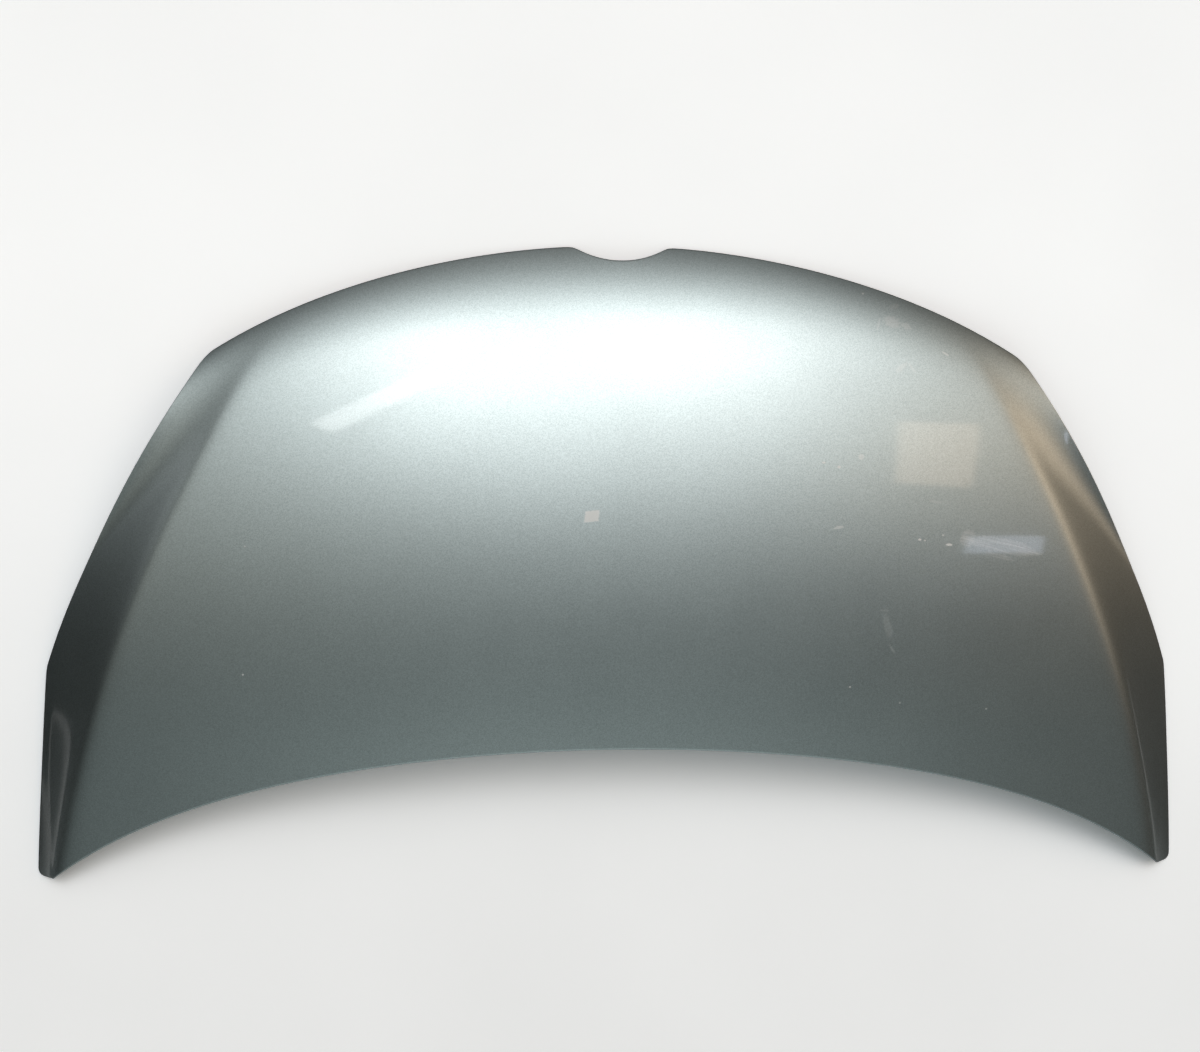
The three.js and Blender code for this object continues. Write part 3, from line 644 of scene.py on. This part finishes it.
def inner_frame():
    """Pressed frame under the skin: rim channel, ribs, ledges round eight windows, flat pads."""
    middle = frame_columns(np.array([START_SHARE]))
    wide = field_widths([float(x[0]) for x, _ in middle], COLUMN_STEPS)
    sample = frame_rows(np.array([FIELD_SAMPLE_X]))
    long = field_widths([float(y[0]) for y, _ in sample], ROW_STEPS)
    right = frame_lines(COLUMN_STEPS, wide)
    across = np.concatenate([-right[:0:-1], right])
    along = frame_lines(ROW_STEPS, long)
    column, row = np.meshgrid(across, along)
    side = np.sign(column)
    column, row, kept = cut_windows(np.abs(column), row, across, along, wide, long)
    v = np.full(column.shape, START_SHARE)
    for _ in range(FRAME_PASSES):
        x = along_lines(column, [line for line, _ in frame_columns(v)], False)
        y = along_lines(row, [line for line, _ in frame_rows(x)], False)
        v = length_share(x, y)
    top = under(x * side, y, frame_depth(column, row))
    press_pads(top, x, v, column, row, side)
    piece = frame_sheet(top, kept)
    piece.data.validate()
    drill(piece)
    return piece


# Materials
PAINT_COLOUR = (0.38, 0.45, 0.452)
PAINT_ROUGHNESS = (0.35, 0.37)
PRIMER_COLOUR = (0.13, 0.15, 0.15)
MARK_COLOUR = (0.72, 0.74, 0.72, 1)
FLAKE_SCALE = 1400.0
FLAKE_TONE = (0.86, 1.14)
CLOUD_TONE = (-0.02, 0.02)
FINE_EDGE_SCALE = 900.0
SOFT_EDGE_SCALE = 300.0
EDGE_DETAIL = (3.0, 0.7)
EDGE_FADE = (0.8, 1.05)
CHIP_RAGGED = 0.35
SCUFF_RAGGED = 0.5
SCRATCH_RAGGED = 0.25
STICKER_RAGGED = 0.08
SCRATCH_TURN = -14
SCRATCH_GRAIN = (25.0, 700.0, 1.0)
SCRATCH_LINES = (0.42, 0.62, 0.25, 1.0)
PLAIN_GRAIN = 60.0

# Wear on the painted face, in the shape's millimetres: x, y, length, width, turn in degrees
# (not for chips), strength.
CHIPS = (
    (229, 121, 4.0, 2.6, 0.8), (247, 116, 4.4, 3.2, 0.9), (341, 33, 4.0, 2.6, 1.0),
    (347, 32, 2.6, 1.8, 0.8), (369, 38, 2.6, 2.0, 0.7), (376, 27, 8.0, 3.0, 1.0),
    (288, 322, 3.0, 2.6, 0.5), (-124, 260, 2.4, 2.2, 0.6), (-102, 243, 2.2, 1.8, 0.5),
    (-430, -120, 2.6, 2.2, 0.6), (-426, 25, 2.4, 2.0, 0.5), (260, -136, 2.6, 2.2, 0.6),
    (320, -156, 2.4, 2.0, 0.5), (426, -166, 2.6, 2.2, 0.5),
)
SCUFFS = (
    (273, 128, 8.5, 7.0, 40, 0.28), (245, 47, 13.5, 3.4, 10, 0.42), (362, 76, 17.0, 2.6, -10, 0.14),
    (299, -48, 13.0, 2.6, -1, 0.2), (303, -66, 30.0, 10.0, -75, 0.13), (309, -93, 14.0, 3.2, -60, 0.16),
    (319, 287, 21.0, 15.0, -18, 0.22), (337, 282, 14.0, 8.0, -24, 0.2), (325, 306, 13.0, 6.0, 31, 0.12),
    (303, 285, 18.0, 2.6, 71, 0.16), (326, 232, 17.0, 7.0, 40, 0.14), (339, 232, 16.0, 3.0, -56, 0.14),
    (382, 249, 11.0, 2.4, -36, 0.4),
)
SCRATCHED = (
    (399, 34, 19.0, 22.0, -24, 0.42), (442, 25, 96.0, 18.0, -11, 0.30), (466, 22, 50.0, 3.0, -18, 0.5),
    (438, 13, 40.0, 6.0, -15, 0.25),
)
STICKER_REST = (-37, 60, 17.5, 13.0, 6, 0.8)
STICKER_SLANT = 0.16


def new_material(name):
    material = bpy.data.materials.new(name)
    material.use_nodes = True
    tree = material.node_tree
    shader = tree.nodes["Principled BSDF"]
    return material, tree, shader


def node(tree, kind, values=None, **settings):
    n = tree.nodes.new(kind)
    for key, value in settings.items():
        setattr(n, key, value)
    for key, value in (values or {}).items():
        if isinstance(value, bpy.types.NodeSocket):
            tree.links.new(value, n.inputs[key])
        else:
            n.inputs[key].default_value = value
    return n


def math_node(tree, operation, a, b=0.0):
    return node(tree, "ShaderNodeMath", {0: a, 1: b}, operation=operation).outputs[0]


def vector_node(tree, operation, *values):
    n = node(tree, "ShaderNodeVectorMath", dict(enumerate(values)), operation=operation)
    return n.outputs["Value" if operation in ("DOT_PRODUCT", "LENGTH") else "Vector"]


def scaled(tree, colour, tone):
    values = {0: colour, "Scale": tone}
    return node(tree, "ShaderNodeVectorMath", values, operation="SCALE").outputs["Vector"]


def noise(tree, place, scale, detail=2.0, rough=0.5):
    values = {"Vector": place, "Scale": scale, "Detail": detail, "Roughness": rough}
    return node(tree, "ShaderNodeTexNoise", values).outputs["Fac"]


def mix_colour(tree, factor, a, b):
    return node(tree, "ShaderNodeMix", {0: factor, 6: a, 7: b}, data_type="RGBA").outputs[2]


def map_range(tree, value, low, high, to_low=0.0, to_high=1.0, smooth=True):
    values = {0: value, 1: low, 2: high, 3: to_low, 4: to_high}
    kind = "SMOOTHSTEP" if smooth else "LINEAR"
    return node(tree, "ShaderNodeMapRange", values, interpolation_type=kind).outputs[0]


def place_of(tree):
    return node(tree, "ShaderNodeTexCoord").outputs["Object"]


def faded(tree, far, rough, ragged, strength):
    """The mark's strength inside its edge, fading to 0 at a ragged edge."""
    offset = map_range(tree, rough, 0.25, 0.75, -ragged, ragged, smooth=False)
    far = math_node(tree, "ADD", far, offset)
    return map_range(tree, far, *EDGE_FADE, strength, 0.0)


def chip(tree, place, rough, x, y, long, wide, strength):
    """Mask of a chip, its length along x."""
    sizes = Vector((2 / (long * MM), 2 / (wide * MM), 0))
    middle = Vector((-x * MM * sizes.x, -(y + FRAME_Y) * MM * sizes.y, 0))
    at = vector_node(tree, "MULTIPLY_ADD", place, sizes, middle)
    return faded(tree, vector_node(tree, "LENGTH", at), rough, CHIP_RAGGED, strength)


def streak(tree, place, rough, x, y, long, wide, turn, strength, ragged=SCUFF_RAGGED, square=False):
    """Mask of a turned oval mark, or of a slanted four-sided one."""
    ahead = Vector((math.cos(math.radians(turn)), math.sin(math.radians(turn)), 0))
    aside = Vector((-ahead.y, ahead.x, 0))
    middle = Vector((x * MM, (y + FRAME_Y) * MM, 0))
    apart = []
    for way in (ahead * (2 / (long * MM)), aside * (2 / (wide * MM))):
        dot = vector_node(tree, "DOT_PRODUCT", place, way)
        apart.append(math_node(tree, "SUBTRACT", dot, middle.dot(way)))
    if square:
        slant = math_node(tree, "MULTIPLY", apart[1], STICKER_SLANT)
        across = math_node(tree, "ABSOLUTE", math_node(tree, "SUBTRACT", apart[0], slant))
        far = math_node(tree, "MAXIMUM", across, math_node(tree, "ABSOLUTE", apart[1]))
    else:
        squares = [math_node(tree, "MULTIPLY", distance, distance) for distance in apart]
        far = math_node(tree, "SQRT", math_node(tree, "ADD", *squares))
    return faded(tree, far, rough, ragged, strength)


def joined(tree, masks):
    total = masks[0]
    for mask in masks[1:]:
        total = math_node(tree, "MAXIMUM", total, mask)
    return total


def scratches(tree, place):
    """Fine lines along one direction."""
    turn = {"Vector": place, "Rotation": (0, 0, math.radians(-SCRATCH_TURN))}
    at = node(tree, "ShaderNodeMapping", turn, vector_type="POINT").outputs[0]
    at = vector_node(tree, "MULTIPLY", at, SCRATCH_GRAIN)
    return map_range(tree, noise(tree, at, 1.0, 3.0, 0.6), *SCRATCH_LINES)


def wear(tree, place):
    """One mask of all the pale marks."""
    fine_edge = noise(tree, place, FINE_EDGE_SCALE, *EDGE_DETAIL)
    soft_edge = noise(tree, place, SOFT_EDGE_SCALE, *EDGE_DETAIL)
    chips = joined(tree, [chip(tree, place, fine_edge, *mark) for mark in CHIPS])
    scuffs = joined(tree, [streak(tree, place, soft_edge, *mark) for mark in SCUFFS])
    patches = [streak(tree, place, soft_edge, *mark, SCRATCH_RAGGED) for mark in SCRATCHED]
    worn = math_node(tree, "MULTIPLY", joined(tree, patches), scratches(tree, place))
    rest = streak(tree, place, soft_edge, *STICKER_REST, STICKER_RAGGED, square=True)
    return joined(tree, [chips, scuffs, worn, rest])


def paint_material():
    """Metallic base with flake under clear coat, and the pale marks on it."""
    material, tree, shader = new_material("paint")
    place = place_of(tree)
    values = {"Vector": place, "Scale": FLAKE_SCALE}
    flake = node(tree, "ShaderNodeTexVoronoi", values, feature="F1").outputs["Color"]
    flake = node(tree, "ShaderNodeSeparateColor", {0: flake}).outputs[0]
    flake = map_range(tree, flake, 0, 1, *FLAKE_TONE)
    cloud = map_range(tree, noise(tree, place, 3.0, 3.0), 0, 1, *CLOUD_TONE)
    colour = scaled(tree, PAINT_COLOUR, math_node(tree, "ADD", flake, cloud))
    pale = wear(tree, place)
    colour = mix_colour(tree, pale, colour, MARK_COLOUR)
    metal = map_range(tree, pale, 0.0, 1.0, 1.0, 0.0, smooth=False)
    rough = map_range(tree, noise(tree, place, 9.0, 4.0, 0.6), 0.3, 0.7, *PAINT_ROUGHNESS)
    tree.links.new(colour, shader.inputs["Base Color"])
    tree.links.new(metal, shader.inputs["Metallic"])
    tree.links.new(rough, shader.inputs["Roughness"])
    shader.inputs["Coat Weight"].default_value = 1.0
    shader.inputs["Coat Roughness"].default_value = 0.05
    shader.inputs["Coat IOR"].default_value = 1.5
    return material


def primer_material():
    material, tree, shader = new_material("inner_paint")
    cloud = noise(tree, place_of(tree), 14.0, 5.0, 0.6)
    colour = scaled(tree, PRIMER_COLOUR, map_range(tree, cloud, 0.2, 0.8, 0.85, 1.12))
    tree.links.new(colour, shader.inputs["Base Color"])
    shader.inputs["Metallic"].default_value = 0.35
    shader.inputs["Roughness"].default_value = 0.5
    shader.inputs["Coat Weight"].default_value = 0.3
    shader.inputs["Coat Roughness"].default_value = 0.3
    return material


def plain_material(name, colour, metallic, rough):
    material, tree, shader = new_material(name)
    cloud = noise(tree, place_of(tree), PLAIN_GRAIN, 4.0, 0.6)
    colour = scaled(tree, colour, map_range(tree, cloud, 0.2, 0.8, 0.8, 1.15))
    uneven = map_range(tree, cloud, 0.2, 0.8, rough - 0.06, rough + 0.08)
    tree.links.new(colour, shader.inputs["Base Color"])
    tree.links.new(uneven, shader.inputs["Roughness"])
    shader.inputs["Metallic"].default_value = metallic
    return material


PAINT = paint_material()
PRIMER = primer_material()
ZINC = plain_material("zinc_steel", (0.45, 0.46, 0.45), 0.9, 0.42)
MASTIC = plain_material("mastic", (0.02, 0.02, 0.02), 0.0, 0.8)
PLASTIC = plain_material("socket_plastic", (0.015, 0.015, 0.016), 0.0, 0.5)

# Pieces
skin = outer_skin([PAINT, PRIMER])
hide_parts("outer_panel")
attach(skin, "root")
pressing = inner_frame()
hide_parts("inner_panel")
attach(pressing, "root")

for name, cad in NODES.items():
    if name.startswith(("hinge_", "latch_")):
        finish = ZINC
    elif name.startswith("mastic"):
        finish = MASTIC
    elif name == "stay_rod_grommet":
        finish = PLASTIC
    else:
        finish = PRIMER
    cad.data.materials.clear()
    cad.data.materials.append(finish)

# Floor. It is pale for the camera and sends little light back up, except beyond the rear corners.
FLOOR_SIZE = 12
FLOOR_BELOW = 0.0005
FLOOR_TONE = (0.8, 0.84)
FLOOR_SEEN = 1.6
FLOOR_BOUNCE = 0.08
FLOOR_BOUNCE_BEHIND = 1.1
FLOOR_BEHIND_Y = (-0.35, -0.6)
FLOOR_TINT = (0.96, 1.0, 1.02)
# Painted shade on the floor: its colour is darker towards the rear and lighter towards the nose, along
# y.
FLOOR_PAINTED_SHADE_Y = (-0.6, 0.35)
FLOOR_PAINTED_SHADE = (0.92, 1.07)


def floor_material():
    material, tree, shader = new_material("floor")
    place = place_of(tree)
    tone = map_range(tree, noise(tree, place, 2.0, 4.0), 0.2, 0.8, *FLOOR_TONE)
    seen = node(tree, "ShaderNodeLightPath").outputs["Is Camera Ray"]
    along = node(tree, "ShaderNodeSeparateXYZ", {0: place}).outputs[1]
    bounce = map_range(tree, along, *FLOOR_BEHIND_Y, FLOOR_BOUNCE, FLOOR_BOUNCE_BEHIND)
    shown = math_node(tree, "MULTIPLY", seen, FLOOR_SEEN)
    tone = math_node(tree, "MULTIPLY", tone, math_node(tree, "MAXIMUM", shown, bounce))
    # Painted shade: the floor's colour is scaled darker towards the rear and lighter towards the nose.
    tone = math_node(tree, "MULTIPLY", tone, map_range(tree, along, *FLOOR_PAINTED_SHADE_Y, *FLOOR_PAINTED_SHADE))
    tree.links.new(scaled(tree, FLOOR_TINT, tone), shader.inputs["Base Color"])
    shader.inputs["Roughness"].default_value = 0.9
    shader.inputs["Specular IOR Level"].default_value = 0.1
    return material


bpy.ops.mesh.primitive_plane_add(size=FLOOR_SIZE, location=(0, 0, -FLOOR_BELOW))
floor = bpy.context.object
floor.name = "floor"
floor.data.materials.append(floor_material())

# The room's soft lights: direction seen from the bonnet, spread, colour.
ROOM = (
    ((-0.17, 0.60, 0.78), 0.011, (2.7, 2.65, 2.65)),
    ((0.17, 0.61, 0.78), 0.011, (3.0, 2.95, 2.95)),
    ((-0.25, 0.78, 0.57), 0.02, (0.5, 0.5, 0.5)),
    ((0.25, 0.79, 0.56), 0.02, (0.5, 0.5, 0.5)),
    ((-0.13, 0.505, 0.85), 0.042, (1.45, 1.37, 1.35)),
    ((0.19, 0.52, 0.84), 0.045, (1.4, 1.32, 1.3)),
    ((0.0, 0.50, 0.86), 0.11, (0.56, 0.58, 0.59)),
    ((0.0, 0.93, 0.36), 0.07, (0.3, 0.28, 0.27)),
    ((-0.85, 0.40, 0.35), 0.025, (0.6, 0.6, 0.6)),
    ((-0.55, 0.15, 0.82), 0.05, (0.42, 0.4, 0.36)),
    ((0.0, -0.80, 0.60), 0.13, (0.84, 0.91, 0.90)),
    ((0.80, 0.34, 0.49), 0.05, (1.5, 1.08, 0.77)),
    ((0.85, -0.05, 0.52), 0.05, (0.12, 0.1, 0.09)),
)
# Crisp openings of light: direction, its level axis, half sizes as slopes, slant, colour.
OPENINGS = (
    ((-0.235, 0.455, 0.858), (0.60, 0.79, 0.0), (0.115, 0.018), 0.0, (4.5, 4.6, 4.6)),
    ((0.452, 0.3, 0.842), (1.0, -0.2, 0.0), (0.052, 0.082), 0.25, (2.4, 1.8, 1.3)),
    ((0.54, 0.055, 0.84), (1.0, -0.15, 0.0), (0.05, 0.022), 0.1, (2.6, 2.9, 3.5)),
)
OPENING_EDGE = (1.0, 0.88)
LEAST_FACING = 0.05
BACKDROP = (0.95, 0.95, 0.95, 1)


def soft_light(tree, direction, total, towards, spread, colour):
    """Adds a round light that fades away from its middle."""
    facing = vector_node(tree, "DOT_PRODUCT", direction, Vector(towards).normalized() / spread)
    glow = math_node(tree, "EXPONENT", math_node(tree, "SUBTRACT", facing, 1 / spread))
    return vector_node(tree, "MULTIPLY_ADD", glow, colour, total)


def opening(tree, direction, total, towards, level, half, slant, colour):
    """Adds a four-sided light with a crisp edge."""
    axis = Vector(towards).normalized()
    across = (Vector(level) - axis * axis.dot(Vector(level))).normalized()
    upward = axis.cross(across)
    ways = (axis, (across + upward * slant) / half[0], upward / half[1])
    ahead, aside, above = [vector_node(tree, "DOT_PRODUCT", direction, way) for way in ways]
    aside = math_node(tree, "ABSOLUTE", aside)
    above = math_node(tree, "ABSOLUTE", above)
    ahead = math_node(tree, "MAXIMUM", ahead, LEAST_FACING)
    far = math_node(tree, "DIVIDE", math_node(tree, "MAXIMUM", aside, above), ahead)
    return vector_node(tree, "MULTIPLY_ADD", map_range(tree, far, *OPENING_EDGE), colour, total)


def world_light():
    world = bpy.data.worlds.new("studio")
    bpy.context.scene.world = world
    world.use_nodes = True
    tree = world.node_tree
    background = tree.nodes["Background"]
    direction = node(tree, "ShaderNodeTexCoord").outputs["Generated"]
    total = (0.0, 0.0, 0.0)
    for light in ROOM:
        total = soft_light(tree, direction, total, *light)
    for light in OPENINGS:
        total = opening(tree, direction, total, *light)
    camera_ray = node(tree, "ShaderNodeLightPath").outputs["Is Camera Ray"]
    tree.links.new(mix_colour(tree, camera_ray, total, BACKDROP), background.inputs["Color"])
    background.inputs["Strength"].default_value = 1.0


world_light()

# Camera: its place is in the shape's own millimetres, found together with the outline.
CAMERA_PLACE = (-86.24, 124.0, 1303.45)
CAMERA_TURN = (0.06184, 0.04807, -0.00047)
SENSOR_WIDTH = 36
FOCAL_SHARE = 0.9
CLIP_END = 50
camera_data = bpy.data.cameras.new("camera")
camera_data.sensor_width = SENSOR_WIDTH
camera_data.lens = SENSOR_WIDTH * FOCAL_SHARE
camera_data.clip_end = CLIP_END
camera = bpy.data.objects.new("camera", camera_data)
turn_x, turn_y, turn_z = [Matrix.Rotation(a, 3, axis) for a, axis in zip(CAMERA_TURN, "XYZ")]
turn = (turn_z @ turn_y @ turn_x).transposed()
place = Vector(CAMERA_PLACE) + Vector((0, FRAME_Y, FRAME_Z))
camera.matrix_world = Matrix.Translation(place * MM) @ turn.to_4x4()
bpy.context.scene.collection.objects.link(camera)
bpy.context.scene.camera = camera
bpy.context.scene.view_settings.view_transform = "Standard"
